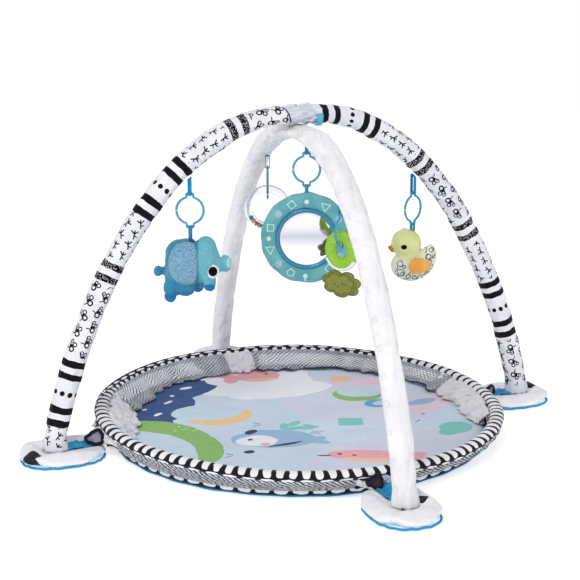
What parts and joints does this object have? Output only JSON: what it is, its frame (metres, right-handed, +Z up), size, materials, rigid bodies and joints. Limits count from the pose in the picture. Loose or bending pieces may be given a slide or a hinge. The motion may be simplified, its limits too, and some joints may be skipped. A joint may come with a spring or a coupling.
{
  "type": "activity play gym",
  "caption": "Round padded play mat with a raisable net wall, two crossing padded arches on foot pads, and hanging toys: elephant, duck, mirror, rattle ring and leaf teether.",
  "frame": {"origin": "on the floor at the centre of the mat", "axes": "+Z up; +X towards the patterned arch's right foot; -Y towards the front foot of the white arch"},
  "size_m": [1.07, 1.07, 0.6115],
  "materials": {
    "mat_blue": "woven light-blue base fabric",
    "batting": "polyester batting",
    "mat_print": "soft printed fabric",
    "stripe_black": "black piping fabric with white ovals",
    "hoop_steel": "spring steel wire",
    "mesh_grey": "grey knitted net",
    "foot_white": "quilted white fabric",
    "socket_plastic": "moulded plastic",
    "web_blue": "blue woven webbing",
    "tube_plastic": "flexible extruded tube",
    "print_white": "white fabric with a black print",
    "plain_white": "plain white fabric",
    "link_blue": "blue moulded plastic",
    "elephant_blue": "blue velour",
    "ear_grey_blue": "grey-blue textured fabric",
    "duck_yellow": "yellow-green velour",
    "wing_orange": "orange fabric",
    "ring_teal": "teal printed plush",
    "bezel_blue": "blue moulded plastic",
    "mirror_glass": "shatterproof mirror sheet",
    "clear_plastic": "clear moulded plastic",
    "teether_green": "textured soft green",
    "leaf_olive": "olive silicone"
  },
  "bodies": {
    "base": {"mat_base_cover": "mat_blue", "mat_padding": "batting", "mat_top_cover": "mat_print", "base_binding": "stripe_black", "mesh_wall_back_right": "mesh_grey", "mesh_wall_back_left": "mesh_grey", "mesh_wall_front_left": "mesh_grey", "mesh_wall_front_right": "mesh_grey", "wall_gusset_right": "foot_white", "wall_gusset_back": "foot_white", "wall_gusset_left": "foot_white", "wall_gusset_front": "foot_white", "foot_pad_right": "foot_white", "foot_pad_back": "foot_white", "foot_pad_left": "foot_white", "foot_pad_front": "foot_white", "foot_socket_right": "socket_plastic", "foot_socket_back": "socket_plastic", "foot_socket_left": "socket_plastic", "foot_socket_front": "socket_plastic", "foot_strap_right": "web_blue", "foot_strap_back": "web_blue", "foot_strap_left": "web_blue", "foot_strap_front": "web_blue", "white_tube_front": "tube_plastic", "white_tube_back": "tube_plastic", "white_ferrule": "socket_plastic", "white_plug_front": "socket_plastic", "white_plug_back": "socket_plastic", "white_sleeve": "plain_white", "mirror_web_loop": "web_blue", "rattle_web_loop": "web_blue", "teether_web_loop": "web_blue"},
    "patterned_arch": {"patterned_tube_left": "tube_plastic", "patterned_tube_right": "tube_plastic", "patterned_ferrule": "socket_plastic", "patterned_plug_left": "socket_plastic", "patterned_plug_right": "socket_plastic", "patterned_sleeve": "print_white", "elephant_web_loop": "web_blue", "duck_web_loop": "web_blue"},
    "wall_rim": {"rim_piping": "stripe_black", "rim_hoop": "hoop_steel"},
    "elephant_link": {"elephant_link": "link_blue"},
    "elephant_toy": {"elephant_body": "elephant_blue", "elephant_ear_near": "ear_grey_blue", "elephant_ear_far": "ear_grey_blue"},
    "duck_link": {"duck_link": "link_blue"},
    "duck_toy": {"duck_body": "duck_yellow", "duck_wing_near": "wing_orange", "duck_wing_far": "wing_orange"},
    "mirror_link": {"mirror_link": "link_blue"},
    "mirror_toy": {"mirror_ring": "ring_teal", "mirror_shell": "bezel_blue", "mirror_glass": "mirror_glass"},
    "rattle_link": {"rattle_link": "link_blue"},
    "rattle_toy": {"rattle_ring": "clear_plastic"},
    "teether_link": {"teether_link": "link_blue"},
    "teether_toy": {"teether_ring": "teether_green", "teether_leaf": "leaf_olive"}
  },
  "joints": [
    {"name": "patterned_arch_fold", "type": "hinge", "parent": "base", "child": "patterned_arch", "pos_m": [0, 0, 0.0282], "axis": [1, 0, 0], "range_deg": [-60, 60]},
    {"name": "wall_raise", "type": "slide", "parent": "base", "child": "wall_rim", "axis": [0, 0, 1], "range_m": [0, 0.12], "deforming": ["mesh_wall_back_right", "mesh_wall_back_left", "mesh_wall_front_left", "mesh_wall_front_right", "wall_gusset_right", "wall_gusset_back", "wall_gusset_left", "wall_gusset_front"]},
    {"name": "elephant_link_swing", "type": "hinge", "parent": "patterned_arch", "child": "elephant_link", "pos_m": [-0.21, 0, 0.4675], "axis": [0.9336, -0.3584, 0], "range_deg": [-35, 35]},
    {"name": "elephant_swing", "type": "hinge", "parent": "elephant_link", "child": "elephant_toy", "pos_m": [-0.21, 0, 0.4055], "axis": [0.9336, -0.3584, 0], "range_deg": [-30, 30]},
    {"name": "duck_link_swing", "type": "hinge", "parent": "patterned_arch", "child": "duck_link", "pos_m": [0.232, 0, 0.441], "axis": [0.891, 0.454, 0], "range_deg": [-35, 35]},
    {"name": "duck_swing", "type": "hinge", "parent": "duck_link", "child": "duck_toy", "pos_m": [0.232, 0, 0.379], "axis": [0.891, 0.454, 0], "range_deg": [-30, 30]},
    {"name": "mirror_link_swing", "type": "hinge", "parent": "base", "child": "mirror_link", "pos_m": [0, -0.037, 0.535], "axis": [0.9336, -0.3584, 0], "range_deg": [-25, 35]},
    {"name": "mirror_swing", "type": "hinge", "parent": "mirror_link", "child": "mirror_toy", "pos_m": [0, -0.037, 0.473], "axis": [0.9336, -0.3584, 0], "range_deg": [-20, 30]},
    {"name": "rattle_link_swing", "type": "hinge", "parent": "base", "child": "rattle_link", "pos_m": [0, 0.168, 0.479], "axis": [0.3584, 0.9336, 0], "range_deg": [-35, 35]},
    {"name": "rattle_swing", "type": "hinge", "parent": "rattle_link", "child": "rattle_toy", "pos_m": [0, 0.168, 0.417], "axis": [0.3584, 0.9336, 0], "range_deg": [-20, 20]},
    {"name": "teether_link_swing", "type": "hinge", "parent": "base", "child": "teether_link", "pos_m": [0, -0.2, 0.452], "axis": [0.7547, 0.6561, 0], "range_deg": [-35, 35]},
    {"name": "teether_swing", "type": "hinge", "parent": "teether_link", "child": "teether_toy", "pos_m": [0, -0.2, 0.39], "axis": [0.7547, 0.6561, 0], "range_deg": [-20, 20]}
  ]
}
